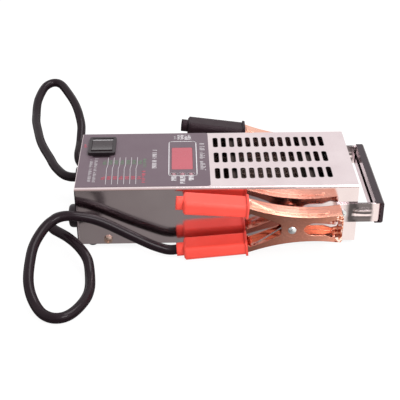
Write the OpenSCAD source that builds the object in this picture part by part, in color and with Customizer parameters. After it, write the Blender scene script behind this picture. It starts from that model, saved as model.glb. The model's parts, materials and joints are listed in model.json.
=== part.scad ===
// Handheld load tester for car batteries: a folded steel cover with a slotted face on a black
// tray, a carrying handle, two cables and two sprung copper clamps.
// Millimetres, +Z up. The origin is at floor level under the middle of the housing and handle.

/* [Housing] */
// Length of the side walls
body_l = 250; // [240:1:270]
// Width over the side walls
body_w = 107; // [104:1:116]
// Height of the cover, from the lower edge of its walls to its face
body_h = 57.5; // [56:0.5:66]
// Sheet thickness of the cover and the tray
sheet_t = 1; // [0.8:0.1:1.2]
// Outer radius of the folds along the face
fold_r = 2.2; // [1.6:0.1:3]
// Height of the rubber feet
foot_h = 4; // [3.6:0.2:7]
// Diameter of a rubber foot
foot_d = 9.6; // [9.2:0.2:13]
// Distance of a foot from the end of the housing
foot_end = 12; // [9:0.5:20]
// Distance of a foot from the side of the housing
foot_side = 8; // [7.5:0.5:14]
// Height of the tray's side flanges
flange_h = 12; // [10:0.5:16]
// Height of the cover screws above the wall's lower edge
screw_up = 4.8; // [4.6:0.1:6.4]
// Distance of a cover screw from the end of the housing
screw_end = 26.7; // [20:0.5:36]
// Head diameter of the pan-head screws
screw_head_d = 7.8; // [7:0.2:8.6]

/* [Vent slots] */
// Columns of slots
slot_cols = 14; // [10:1:14]
// Rows of slots
slot_rows = 3; // [1:1:3]
// Width of a slot
slot_w = 4.1; // [3:0.1:4.6]
// Length of a slot
slot_l = 18.7; // [12:0.1:22]
// Corner radius of a slot
slot_r = 1.2; // [0.5:0.1:1.5]
// Distance from one column to the next
slot_pitch = 7.78; // [7:0.02:7.9]
// Distance from one row to the next
slot_row_pitch = 29.95; // [26:0.05:31]
// Distance of the first column from the left end
slot_start = 126.6; // [125:0.2:130]

/* [Front label and display] */
// Length of the printed label
label_l = 120.2; // [118:0.2:122]
// Width of the printed label
label_w = 101.5; // [98:0.5:102]
// Thickness of the printed label
label_t = 0.3; // [0.2:0.05:0.5]
// Corner radius of the label
label_r = 3; // [1:0.5:6]
// Length of the display window across the housing
window_l = 42; // [40:0.5:46]
// Width of the display window along the housing
window_w = 19.4; // [19.2:0.2:21]
// Distance of the window's middle from the left end
window_x = 94.7; // [94:0.1:97]
// Thickness of the flange that holds the window under the face
lens_flange = 1.2; // [0.8:0.1:2]
// Depth of the digit module behind the window
module_h = 8; // [7:0.5:9]
// Diameter of an indicator lamp
led_d = 5; // [4.6:0.1:5.4]
// Distance between indicator lamps
led_pitch = 7.75; // [6:0.05:8.4]
// Distance of the lamps from the middle line of the housing
led_y = 28.6; // [28:0.1:30]

/* [Rocker switch] */
// Length of the bezel across the housing
bezel_l = 32; // [30.6:0.1:33]
// Width of the bezel along the housing
bezel_w = 25.4; // [24.8:0.1:27]
// Height of the bezel over the label
bezel_h = 3.1; // [2.6:0.1:3.4]
// Length of the cut-out for the switch
cutout_l = 28; // [27.6:0.1:28.4]
// Width of the cut-out for the switch
cutout_w = 22.2; // [22:0.1:23]
// Wall of the switch housing
switch_wall = 0.9; // [0.8:0.05:1.1]
// Depth of the switch behind the face
switch_depth = 26; // [22:1:29]
// Distance of the switch's middle from the left end
switch_x = 19.5; // [17:0.5:24]
// Distance of the switch's middle from the middle line of the housing
switch_y = 24; // [20:0.5:30]
// Diameter of the rocker's trunnions
trunnion_d = 3; // [2.4:0.1:3.4]
// Travel of the rocker in degrees, as its resting tilt allows
rocker_travel = 12; // [8:1:12]

/* [Handle] */
// Gap between the housing and the grip
handle_gap = 16; // [14:0.5:30]
// Width of the steel strap
strap_w = 19; // [18:0.5:22]
// Thickness of the steel strap
strap_t = 2; // [1.5:0.1:2.4]
// Height of the strap's middle above the wall's lower edge
strap_up = 30.5; // [26:0.5:36]
// Length of each arm on the side wall
arm_l = 18; // [16:0.5:26]
// Depth of the grip
grip_d = 7.5; // [7:0.1:10]
// Wall of the grip
grip_wall = 2; // [1.4:0.1:2.2]
// Height of the slit along the grip
slit_h = 6; // [3:0.5:6.5]

/* [Clamps] */
// Width of a lever over its flanges
lever_w = 18; // [16:0.2:20]
// Sheet thickness of a lever
lever_t = 1.3; // [1:0.1:1.5]
// Distance from the pivot to the lip of the jaw
jaw_reach = 44.6; // [43:0.2:48]
// Distance from the pivot to the end of the steel in the handle
handle_reach = 92; // [86:0.5:94]
// Radius of the ears round the pivot
ear_r = 8.5; // [7.5:0.1:9.5]
// Diameter of the rivet
rivet_d = 5.4; // [5:0.1:6.4]
// Diameter of the rivet's head
rivet_head_d = 7.4; // [7:0.1:9]
// Wire diameter of the spring
wire_d = 1.8; // [1.4:0.1:2]
// Length of a handle sleeve without its cap
sleeve_l = 55; // [54:0.5:57]
// Width of a handle sleeve at its cable end
sleeve_w = 21.4; // [20.8:0.2:23]
// Height of a handle sleeve at its cable end
sleeve_h = 13.4; // [13:0.1:15]
// Height of a handle sleeve next to its collar
sleeve_neck_h = 11.8; // [11.6:0.1:13.4]
// Width of the collar at the open end of a sleeve
collar_w = 23.6; // [23:0.2:26]
// Height of the collar at the open end of a sleeve
collar_h = 16; // [15:0.5:18]
// Gap between the housing and the middle plane of a clamp beside it
near_clamp_gap = 15.4; // [15:0.2:20]
// Gap between the housing and the middle plane of the clamp behind it
far_clamp_gap = 27.2; // [16:0.2:40]
// Opening angle of a clamp in degrees
clamp_travel = 16; // [10:1:16]

/* [Cables] */
// Diameter of a cable
cable_d = 9; // [8.4:0.1:9.2]
// Diameter of a gland's dome
gland_d = 21.5; // [20:0.5:24]
// Height of a gland's dome
gland_h = 8; // [7:0.5:10]
// Distance of a gland from the middle line of the housing
gland_y = 35.5; // [32:0.5:38]
// Height of a gland's middle above the wall's lower edge
gland_up = 19.5; // [18:0.5:24]

/* [Load] */
// Column of slots over the first bracket, counted from 1
bracket_col_a = 3; // [3:1:4]
// Column of slots over the second bracket
bracket_col_b = 12; // [11:1:12]
// Thickness of a bracket plate
bracket_t = 1.2; // [1:0.1:2]
// Thickness of the resistance strip
strip_t = 0.8; // [0.5:0.1:1.2]
// Height of the resistance strip
strip_h = 6; // [5:0.5:8]
// Distance between passes of the strip
strip_pitch = 8; // [7.6:0.1:8.4]
// Passes of the strip between the brackets
strip_passes = 10; // [8:2:10]

/* [Hidden] */

// Clearances
fit_gap = 0.2;      // between pieces that slide in or lie beside each other
pivot_gap = 0.05;   // round a pin that turns in its hole
side_gap = 0.3;     // between moving faces side by side
lap = 0.5;          // overlap of shapes that make one solid

// The housing's edges
gland_out = sheet_t + gland_h;
grip_out = sheet_t + handle_gap + grip_d;
left_x = gland_out - (gland_out + body_l + grip_out) / 2;
right_x = left_x + body_l;
wall_y = body_w / 2;
wall_z = foot_h;
face_z = foot_h + body_h;
under_z = face_z - sheet_t;
tray_z = wall_z + sheet_t;
label_z = face_z + label_t;
eps = 0.05;

$fn = 48;

// Plain shapes
module slab(x, y, z) {
    translate([x[0], y[0], z[0]]) cube([x[1] - x[0], y[1] - y[0], z[1] - z[0]]);
}

module rod_x(r, x0, x1) {
    translate([x0, 0, 0]) rotate([0, 90, 0]) cylinder(h = x1 - x0, r = r);
}

module rod_y(r, y0, y1) {
    translate([0, y1, 0]) rotate([90, 0, 0]) cylinder(h = y1 - y0, r = r);
}

// A rectangle with round corners, made of squares and circles so that its edges stay true arcs
module round_rect(x, y, r) {
    square([x - 2 * r, y], center = true);
    square([x, y - 2 * r], center = true);
    for (i = [-1, 1], j = [-1, 1])
        translate([i * (x / 2 - r), j * (y / 2 - r)]) circle(r = r);
}

// A side view in X and Z, given a thickness along Y
module side_view(thick) {
    rotate([90, 0, 0]) linear_extrude(height = thick, center = true) children();
}

// An end view in Y and Z, given a length along X
module end_view(x0, x1) {
    translate([x0, 0, 0]) rotate([90, 0, 90]) linear_extrude(height = x1 - x0) children();
}

// Points on a cubic curve
function bezier(a, b, c, d, n) = [
    for (i = [0:n]) let (t = i / n, s = 1 - t)
        s * s * s * a + 3 * s * s * t * b + 3 * s * t * t * c + t * t * t * d
];

// A tube along a route: the ring's first normal is carried from point to point
function unit(v) = v / norm(v);
function tangent(p, i) = unit(p[min(i + 1, len(p) - 1)] - p[max(i - 1, 0)]);
function carried(n, t) = unit(n - t * (n * t));
function normals(p, i, n) = i == len(p) ? [] :
    let (m = carried(n, tangent(p, i))) concat([m], normals(p, i + 1, m));

module tube(p, r, sides, first_normal) {
    n = normals(p, 0, first_normal);
    last = len(p) - 1;
    rings = [
        for (i = [0:last]) let (side = cross(tangent(p, i), n[i])) for (k = [0:sides - 1])
            let (a = 360 * k / sides) p[i] + r * (n[i] * cos(a) + side * sin(a))
    ];
    skin = [
        for (i = [0:last - 1], k = [0:sides - 1])
            let (a = i * sides + k, b = i * sides + (k + 1) % sides)
            each [[a, a + sides, b + sides], [a, b + sides, b]]
    ];
    ends = [[for (k = [0:sides - 1]) k], [for (k = [0:sides - 1]) last * sides + sides - 1 - k]];
    polyhedron(points = rings, faces = concat(skin, ends), convexity = 6);
}

// A pan-head screw with a cross recess, its head on Z = 0 and its shank along -Z
recess_l = 4.4;
recess_w = 0.9;
module pan_screw(head_d, head_h, shank_d, shank_l) {
    difference() {
        union() {
            intersection() {
                translate([0, 0, head_h - head_d]) sphere(r = head_d);
                cylinder(h = head_h, r = head_d / 2);
            }
            translate([0, 0, -shank_l]) cylinder(h = shank_l + lap, r = shank_d / 2);
        }
        for (a = [0, 90])
            rotate(a) translate([0, 0, head_h])
                cube([recess_l, recess_w, 2 * head_h * 0.55], center = true);
    }
}

module hex_nut(across, high, hole_d) {
    difference() {
        cylinder(h = high, r = across / 2 / cos(30), $fn = 6);
        translate([0, 0, -eps]) cylinder(h = high + 2 * eps, r = hole_d / 2);
    }
}

// Cover
slot_mid_y = 2;
slot_field = [for (c = [0:slot_cols - 1], r = [0:slot_rows - 1])
    [left_x + slot_start + c * slot_pitch, (r - (slot_rows - 1) / 2) * slot_row_pitch + slot_mid_y]];
window_at = [left_x + window_x, 0.8];
window_r = 1.5;
switch_at = [left_x + switch_x, switch_y];
led_at = [for (i = [-1:1]) [window_at[0] + i * led_pitch, -led_y]];
led_hole_d = led_d + 2 * fit_gap;
cover_screw_d = 3;
cover_screw_at = [for (x = [left_x + screw_end, right_x - screw_end], s = [-1, 1])
    [x, s, wall_z + screw_up]];
strap_z = wall_z + strap_up;
handle_screw_d = 4;
handle_screw_from_end = 13;
handle_screw_at = [right_x - handle_screw_from_end, strap_z];

module cover_outline() {
    r = fold_r;
    union() {
        translate([-wall_y, 0]) square([body_w, body_h - r]);
        translate([-wall_y + r, 0]) square([body_w - 2 * r, body_h]);
        for (s = [-1, 1]) translate([s * (wall_y - r), body_h - r]) circle(r = r);
    }
}

module cover_hollow() {
    r = fold_r - sheet_t;
    w = wall_y - sheet_t;
    union() {
        translate([-w, -1]) square([2 * w, body_h - fold_r + 1]);
        translate([-w + r, 0]) square([2 * (w - r), body_h - sheet_t]);
        for (s = [-1, 1]) translate([s * (w - r), body_h - fold_r]) circle(r = r);
    }
}

module face_cut(at, below, high) {
    translate([at[0], at[1], face_z - below]) linear_extrude(height = high) children();
}

module cover() color([0.86, 0.84, 0.84]) {
    face_end = fold_r + fit_gap;
    difference() {
        translate([0, 0, wall_z]) end_view(left_x - sheet_t, right_x + sheet_t) difference() {
            cover_outline();
            cover_hollow();
        }
        // at the cable end the side walls stop short of the face, where the tray's end wall is
        slab([left_x - 2 * sheet_t, left_x], [-body_w, body_w], [0, face_z - face_end]);
        for (at = slot_field)
            face_cut(at, 2 * sheet_t, 3 * sheet_t) round_rect(slot_w, slot_l, slot_r);
        face_cut(window_at, 2 * sheet_t, 3 * sheet_t)
            round_rect(window_w + fit_gap, window_l + fit_gap, window_r);
        face_cut(switch_at, 2 * sheet_t, 3 * sheet_t) square([cutout_w, cutout_l], center = true);
        for (at = led_at) face_cut(at, 2 * sheet_t, 3 * sheet_t) circle(r = led_hole_d / 2);
        for (at = cover_screw_at)
            translate([at[0], at[1] * wall_y, at[2]])
                rod_y(cover_screw_d / 2 + fit_gap, -2 * sheet_t, 2 * sheet_t);
        for (s = [-1, 1])
            translate([handle_screw_at[0], s * wall_y, handle_screw_at[1]])
                rod_y(handle_screw_d / 2 + fit_gap, -2 * sheet_t, 2 * sheet_t);
    }
}

// Tray: back plate, two end walls and two side flanges, folded from one sheet
gland_z = wall_z + gland_up;
gland_neck_d = 15;
flange_y = wall_y - sheet_t - fit_gap;
foot_at = [for (x = [left_x + foot_end, right_x - foot_end], s = [-1, 1])
    [x, s * (wall_y - foot_side)]];
foot_screw_d = 3;

module rear_tray() color([0.13, 0.12, 0.13]) {
    wide = wall_y - fit_gap;
    shoulder_z = face_z - fold_r - 2 * fit_gap;
    inner_x = [left_x + 3, right_x - 3];
    ends = [[left_x - sheet_t, left_x], [right_x, right_x + sheet_t]];
    difference() {
        union() {
            slab([left_x - sheet_t, right_x + sheet_t], [-flange_y, flange_y], [wall_z, tray_z]);
            // the end wall beside the cables covers the ends of the cover's walls, the other one
            // stands between them
            slab(ends[0], [-wide, wide], [wall_z, shoulder_z]);
            slab(ends[1], [-flange_y, flange_y], [wall_z, shoulder_z]);
            for (x = ends) slab(x, [-wide + fold_r, wide - fold_r], [wall_z, under_z - fit_gap]);
            for (s = [-1, 1])
                slab(inner_x, s > 0 ? [flange_y - sheet_t, flange_y] : [-flange_y, sheet_t - flange_y],
                    [wall_z, wall_z + flange_h]);
        }
        for (s = [-1, 1])
            translate([left_x, s * gland_y, gland_z])
                rod_x(gland_neck_d / 2 + fit_gap, -2 * sheet_t, sheet_t);
        for (at = cover_screw_at)
            translate([at[0], at[1] * wall_y, at[2]])
                rod_y(cover_screw_d / 2 + pivot_gap, -3 * sheet_t, 3 * sheet_t);
        for (at = foot_at)
            translate([at[0], at[1], 0]) cylinder(h = tray_z + 1, r = foot_screw_d / 2 + pivot_gap);
    }
}

cover_screw_head_h = 2.6;
cover_screw_l = 8;
module cover_screws() color([0.75, 0.72, 0.7]) {
    for (at = cover_screw_at)
        translate([at[0], at[1] * wall_y, at[2]]) rotate([-90 * at[1], 0, 0])
            pan_screw(screw_head_d, cover_screw_head_h, cover_screw_d, cover_screw_l);
}

// Feet: turned rubber pads with a sunk screw
foot_recess_d = 6;
foot_recess_h = 2.2;
module feet() color([0.1, 0.1, 0.1]) {
    top_r = foot_d / 2;
    low_r = top_r - 0.5;
    hole_r = foot_screw_d / 2 + fit_gap;
    for (at = foot_at)
        translate([at[0], at[1], 0]) rotate_extrude()
            polygon([
                [foot_recess_d / 2, 0], [low_r - 0.4, 0], [low_r, 0.4], [top_r, foot_h],
                [hole_r, foot_h], [hole_r, foot_recess_h], [foot_recess_d / 2, foot_recess_h]
            ]);
}

foot_screw_head_d = 5.4;
foot_screw_head_h = 1.6;
module foot_screws() color([0.7, 0.7, 0.72]) {
    for (at = foot_at)
        translate([at[0], at[1], foot_recess_h]) rotate([180, 0, 0])
            pan_screw(foot_screw_head_d, foot_screw_head_h, foot_screw_d, foot_h);
}

// Front label: a printed film with openings for the switch, the window and the lamps
label_at = [left_x - 0.5 + label_l / 2, 1.05];
module front_label() color([0.42, 0.38, 0.41]) {
    difference() {
        translate([label_at[0], label_at[1], face_z]) linear_extrude(height = label_t) union() {
            translate([-label_r, 0]) square([label_l - 2 * label_r, label_w], center = true);
            round_rect(label_l, label_w, label_r);
        }
        face_cut(window_at, 1, 3) round_rect(window_w + fit_gap, window_l + fit_gap, window_r);
        face_cut(switch_at, 1, 3) square([cutout_w, cutout_l], center = true);
        for (at = led_at) face_cut(at, 1, 3) circle(r = led_hole_d / 2);
    }
}

// Display window, digit module, board and lamps
lens_lip = 3;
module display_lens() color([0.75, 0.12, 0.16]) {
    translate([window_at[0], window_at[1], 0]) {
        translate([0, 0, under_z - lens_flange])
            linear_extrude(height = lens_flange)
                square([window_w + lens_lip, window_l + 2 * lens_lip], center = true);
        translate([0, 0, under_z - lap]) linear_extrude(height = sheet_t + label_t + lap)
            round_rect(window_w - fit_gap, window_l - fit_gap, window_r);
    }
}

module_l = 37.6;
module_w = 19;
module_top = under_z - lens_flange;
board_top = module_top - module_h;
board_t = 1.6;
digit_w = 7;
digit_l = 12.5;
module display_module() color([0.25, 0.22, 0.22]) {
    difference() {
        translate([window_at[0], window_at[1], board_top]) linear_extrude(height = module_h)
            square([module_w, module_l], center = true);
        for (i = [-1:1])
            translate([window_at[0], window_at[1] + i * module_l / 3, module_top])
                cube([digit_l, digit_w, 0.6], center = true);
    }
}

board_x = [window_at[0] - 17, window_at[0] + 21];
board_y = 39;
standoff_d = 5;
standoff_at = [for (x = [board_x[0] + 3.5, board_x[1] - 3.5], y = [3.5 - board_y, board_y - 3.5])
    [x, y]];
module display_board() color([0.1, 0.35, 0.2]) {
    slab(board_x, [-board_y, board_y], [board_top - board_t, board_top]);
    // the shunt, the controller and two capacitors on the back of the board
    translate([window_at[0], 12, board_top - board_t - 3]) cube([12, 12, 3 + lap]);
    translate([window_at[0] - 8, -14, board_top - board_t - 2]) cube([8, 10, 2 + lap]);
    for (y = [-26, -18])
        translate([window_at[0] + 10, y, board_top - board_t - 9]) cylinder(h = 9 + lap, r = 3);
}

module board_standoffs() color([0.8, 0.7, 0.4]) {
    for (at = standoff_at)
        translate([at[0], at[1], board_top]) cylinder(h = under_z - board_top, r = standoff_d / 2);
}

led_body_h = 5;
led_spacer_d = 5.6;
module indicator_leds() color([0.75, 0.72, 0.7]) {
    dome_z = label_z - 1.5;
    for (at = led_at) translate([at[0], at[1], 0]) {
        translate([0, 0, board_top])
            cylinder(h = dome_z - led_body_h - board_top, r = led_spacer_d / 2);
        translate([0, 0, dome_z - led_body_h - lap])
            cylinder(h = led_body_h + lap, r = led_d / 2);
        translate([0, 0, dome_z]) intersection() {
            sphere(r = led_d / 2);
            translate([0, 0, led_d / 2]) cube(led_d, center = true);
        }
    }
}

// Rocker switch: the rocker turns on trunnions in the side walls of the housing
axis_z = face_z - 1.5;
body_clear = 0.2;
shell_w = cutout_w - 2 * body_clear;
shell_l = cutout_l - 2 * body_clear;
pocket_w = shell_w - 2 * switch_wall;
pocket_l = shell_l - 2 * switch_wall;
pocket_depth = 9;
bezel_r = 2.5;
module switch_housing() color([0.09, 0.08, 0.09]) {
    translate([switch_at[0], switch_at[1], 0]) difference() {
        union() {
            translate([0, 0, label_z]) linear_extrude(height = bezel_h)
                round_rect(bezel_w, bezel_l, bezel_r);
            translate([0, 0, face_z - switch_depth])
                linear_extrude(height = switch_depth + label_t + lap)
                square([shell_w, shell_l], center = true);
        }
        translate([0, 0, axis_z - pocket_depth]) linear_extrude(height = pocket_depth + 9)
            square([pocket_w, pocket_l], center = true);
        translate([0, 0, axis_z]) rod_x(trunnion_d / 2 + pivot_gap, -shell_w, shell_w);
    }
}

rocker_w = pocket_w - 2 * fit_gap;
rocker_half = pocket_l / 2 - 0.5;
near_rise = 5.5;
far_rise = 4.1;
module switch_rocker() color([0.12, 0.11, 0.12]) {
    // seen from the end: raised towards the near side, hollowed a little along its top, with a
    // rounded far edge
    near_top = [-rocker_half + 1.4, near_rise];
    far_top = [rocker_half - 1.3, far_rise];
    far_edge = bezier(far_top, far_top + [0.8, 0], far_top + [1.2, -0.5], far_top + [1.3, -1.4], 5);
    dish = bezier(near_top, near_top + [8, -2], far_top + [-8, 0.2], far_top, 10);
    translate([switch_at[0], switch_at[1], axis_z]) {
        end_view(-rocker_w / 2, rocker_w / 2)
            polygon(concat(dish, [for (i = [1:5]) far_edge[i]], [
                [rocker_half, 0], [rocker_half - 3, -3.5], [4, -6.5], [-4, -6.5],
                [3 - rocker_half, -3.5], [-rocker_half, 0]
            ]));
        rod_x(trunnion_d / 2, -shell_w / 2, shell_w / 2);
    }
}

terminal_w = 6.3;
terminal_t = 0.8;
terminal_l = 9;
terminal_pitch = 9;
module switch_terminals() color([0.85, 0.75, 0.45]) {
    // the common blade in the middle and the contact's blade towards the near end
    for (y = [-terminal_pitch, 0])
        translate([switch_at[0], switch_at[1] + y, face_z - switch_depth])
            slab([-terminal_w / 2, terminal_w / 2], [-terminal_t / 2, terminal_t / 2],
                [-terminal_l, 0]);
}

// Load: a flat resistance strip runs to and fro between two brackets
bracket_x = [for (c = [bracket_col_a, bracket_col_b]) left_x + slot_start + (c - 1) * slot_pitch];
bracket_y = 46;
bracket_fold = 8;
bracket_top = under_z - 2.5;
strip_z = wall_z + 0.62 * body_h;
insulator_d = 8;
insulator_h = strip_h + 6;
strip_half = (strip_passes - 1) * strip_pitch / 2;
insulator_y = strip_half + 7;
turn_r = strip_pitch / 2;
// the strip's straight parts end where its turns begin, a groove's depth inside the insulators
turn_x = [bracket_x[0] + bracket_t / 2 + insulator_d, bracket_x[1] - bracket_t / 2 - insulator_d];
strip_tail = 12;
tail_hole = strip_h + 3;

module load_brackets() color([0.72, 0.7, 0.7]) {
    for (i = [0, 1]) {
        out = i == 0 ? -1 : 1;
        x = bracket_x[i];
        plate = [x - bracket_t / 2, x + bracket_t / 2];
        fold = out < 0 ? [x - bracket_fold, x + bracket_t / 2] : [x - bracket_t / 2, x + bracket_fold];
        difference() {
            union() {
                slab(plate, [-bracket_y, bracket_y], [tray_z, bracket_top]);
                slab(fold, [-bracket_y, bracket_y], [tray_z, tray_z + bracket_t]);
                slab([x - slot_w / 2 - 1, x + slot_w / 2 + 1], [-bracket_y, bracket_y],
                    [bracket_top - bracket_t, bracket_top]);
            }
            if (i == 0)
                for (s = [-1, 1])
                    translate([x, s * strip_half, strip_z])
                        cube([4, strip_t + 4, tail_hole], center = true);
        }
    }
}

module load_insulators() color([0.9, 0.88, 0.82]) {
    for (i = [0, 1]) {
        // pass k joins pass k + 1 at the right for even k and at the left for odd k
        first = i == 0 ? 1 : 0;
        x = i == 0 ? bracket_x[0] + bracket_t / 2 : bracket_x[1] - bracket_t / 2 - insulator_d;
        difference() {
            slab([x, x + insulator_d], [-insulator_y, insulator_y],
                [strip_z - insulator_h / 2, strip_z + insulator_h / 2]);
            for (k = [first:2:strip_passes - 2])
                translate([turn_x[i], (k + 0.5) * strip_pitch - strip_half, strip_z])
                    cube([2 * (turn_r + strip_t + fit_gap), strip_pitch + strip_t + 2 * fit_gap,
                        strip_h + 2 * fit_gap], center = true);
            if (i == 0)
                for (s = [-1, 1])
                    translate([x + insulator_d / 2, s * strip_half, strip_z])
                        cube([2 * insulator_d, strip_t + 2 * fit_gap, strip_h + 2 * fit_gap],
                            center = true);
        }
    }
}

module strip_turn(out) {
    intersection() {
        difference() {
            circle(r = turn_r + strip_t / 2);
            circle(r = turn_r - strip_t / 2);
        }
        translate([out > 0 ? 0 : -strip_pitch, -strip_pitch]) square([strip_pitch, 2 * strip_pitch]);
    }
}

module load_strip() color([0.55, 0.5, 0.48]) {
    translate([0, 0, strip_z - strip_h / 2]) linear_extrude(height = strip_h) union() {
        for (k = [0:strip_passes - 1]) {
            first_or_last = k == 0 || k == strip_passes - 1;
            x0 = first_or_last ? bracket_x[0] - strip_tail : turn_x[0] - eps;
            translate([x0, k * strip_pitch - strip_half - strip_t / 2])
                square([turn_x[1] + eps - x0, strip_t]);
        }
        for (k = [0:strip_passes - 2])
            translate([turn_x[k % 2 == 0 ? 1 : 0], (k + 0.5) * strip_pitch - strip_half])
                strip_turn(k % 2 == 0 ? 1 : -1);
    }
}

// Busbars from the cable lugs to the relay and the load
bar_w = 11;
bar_t = 1.5;
post_from_end = 48;
post_x = left_x + post_from_end;
post_d = 12;
post_top = gland_z - 1.5;
post_hole_l = 10;
bolt_d = 6;
bolt_l = 12;
tab_x = bracket_x[0] - strip_tail;
relay_from_end = 76;
relay_l = 28;
relay_w = 26;
relay_h = 26;
relay_x = [left_x + relay_from_end, left_x + relay_from_end + relay_l];
relay_y = [gland_y - relay_w / 2, gland_y + relay_w / 2];

module bar_with_hole(x0, x1, y) {
    difference() {
        slab([x0, x1], [y - bar_w / 2, y + bar_w / 2], [post_top, post_top + bar_t]);
        translate([post_x, y, post_top - 1]) cylinder(h = bar_t + 2, r = bolt_d / 2 + fit_gap);
    }
}

// An upright end that stands against the tail of the strip
module bar_tab(y, s) {
    face = strip_half + strip_t / 2;
    slab([tab_x, tab_x + bar_w], s > 0 ? [face, face + bar_t] : [-face - bar_t, -face],
        [post_top, strip_z + strip_h / 2]);
}

module busbar_positive() color([0.8, 0.5, 0.32]) {
    bar_with_hole(post_x - bar_w / 2, tab_x + bar_w, -gland_y);
    bar_tab(-gland_y, -1);
}

module busbar_negative() color([0.8, 0.5, 0.32]) {
    bar_with_hole(post_x - bar_w / 2, relay_x[0], gland_y);
    slab([relay_x[1], tab_x + bar_w], [gland_y - bar_w / 2, gland_y + bar_w / 2],
        [post_top, post_top + bar_t]);
    bar_tab(gland_y, 1);
}

module busbar_posts() color([0.3, 0.28, 0.28]) {
    for (s = [-1, 1])
        translate([post_x, s * gland_y, tray_z]) difference() {
            cylinder(h = post_top - tray_z, r = post_d / 2);
            translate([0, 0, post_top - tray_z - post_hole_l])
                cylinder(h = post_hole_l + 1, r = bolt_d / 2 + pivot_gap);
        }
}

lug_t = 1.5;
bolt_head_h = 4;
bolt_across = 10;
module terminal_bolts() color([0.75, 0.75, 0.76]) {
    for (s = [-1, 1])
        translate([post_x, s * gland_y, post_top + bar_t + lug_t]) {
            cylinder(h = bolt_head_h, r = bolt_across / 2 / cos(30), $fn = 6);
            translate([0, 0, -bolt_l]) cylinder(h = bolt_l + lap, r = bolt_d / 2);
        }
}

relay_recess_h = 6;
module load_relay() color([0.15, 0.15, 0.17]) {
    difference() {
        slab(relay_x, relay_y, [tray_z, tray_z + relay_h]);
        // moulded grip recesses in the case
        for (y = relay_y)
            translate([relay_x[0] + relay_l / 2, y, tray_z + relay_h - relay_recess_h])
                cube([relay_l - 8, 1.2, relay_recess_h], center = true);
    }
}

// Cable ends inside the housing, each in its gland and with a ring lug on the busbar
gland_x = left_x - sheet_t - gland_h;
lug_l = 18;
crimp_l = 8;
lead_end = post_x - lug_l;
module lead(s) {
    core_r = 3;
    translate([0, s * gland_y, 0]) {
        translate([0, 0, gland_z]) rod_x(cable_d / 2, gland_x, lead_end);
        translate([0, 0, gland_z]) rod_x(core_r, lead_end - lap, lead_end + crimp_l);
        difference() {
            union() {
                slab([lead_end + crimp_l - 2, post_x], [-core_r, core_r],
                    [post_top + bar_t, post_top + bar_t + lug_t]);
                translate([post_x, 0, post_top + bar_t]) cylinder(h = lug_t, r = bar_w / 2);
            }
            translate([post_x, 0, post_top])
                cylinder(h = bar_t + 2 * lug_t + 1, r = bolt_d / 2 + fit_gap);
        }
    }
}

module lead_positive() color([0.2, 0.17, 0.19]) lead(-1);
module lead_negative() color([0.2, 0.17, 0.19]) lead(1);

// Glands: a dome with a grooved nose outside the end wall and a threaded neck inside
neck_l = 11;
module gland(s) {
    r = gland_d / 2;
    nose_r = cable_d / 2 + 2.6;
    bore_r = cable_d / 2 + fit_gap;
    dome = bezier([gland_h * 0.45, r], [gland_h * 0.85, r], [gland_h, r * 0.88], [gland_h, nose_r], 8);
    translate([left_x - sheet_t, s * gland_y, gland_z]) rotate([0, -90, 0]) rotate_extrude()
        polygon(concat(
            [[bore_r, gland_h], [bore_r, -sheet_t - neck_l], [gland_neck_d / 2, -sheet_t - neck_l],
             [gland_neck_d / 2, 0], [r, 0]],
            [for (p = dome) [p[1], p[0]]]
        ));
}

module gland_positive() color([0.16, 0.15, 0.16]) gland(-1);
module gland_negative() color([0.16, 0.15, 0.16]) gland(1);

gland_nut_h = 4.5;
module gland_nuts() color([0.18, 0.17, 0.18]) {
    for (s = [-1, 1])
        translate([left_x, s * gland_y, gland_z]) rotate([0, 90, 0])
            hex_nut(20, gland_nut_h, gland_neck_d + 2 * pivot_gap);
}

// Handle: a strap screwed to both side walls, with its cross bar inside a channel grip
grip_x = [right_x + sheet_t + handle_gap, right_x + grip_out];
grip_h = strap_w + 2;
grip_y = wall_y + strap_t + 0.5;
arm_x = right_x - arm_l;
grip_room_x = [grip_x[0] + grip_wall, grip_x[1] - grip_wall];
bar_x = (grip_room_x[0] + grip_room_x[1] - strap_t) / 2;
cross_h = grip_h - 2 * grip_wall - 2 * fit_gap;
corner_r = 3;
// the pressed rib on each arm: middle along X, then length, height and rise of its two steps
rib_mid_x = right_x + 6.5;
rib_steps = [[18, 10.5, 0.5], [13.5, 6, 1]];

module strap_plan() {
    // plan view: a wide U with round corners
    out_y = wall_y + strap_t;
    out_x = bar_x + strap_t;
    r = corner_r;
    difference() {
        union() {
            translate([arm_x, -out_y]) square([out_x - r - arm_x, 2 * out_y]);
            translate([out_x - r - lap, r - out_y]) square([r + lap, 2 * (out_y - r)]);
            for (s = [-1, 1]) translate([out_x - r, s * (out_y - r)]) circle(r = r);
        }
        translate([arm_x - 1, -wall_y]) square([bar_x - (r - strap_t) - arm_x + 1, 2 * wall_y]);
        translate([bar_x - r, r - strap_t - wall_y]) square([r, 2 * (wall_y - r + strap_t)]);
        for (s = [-1, 1])
            translate([bar_x - r + strap_t, s * (wall_y - r + strap_t)]) circle(r = r - strap_t);
    }
}

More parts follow.
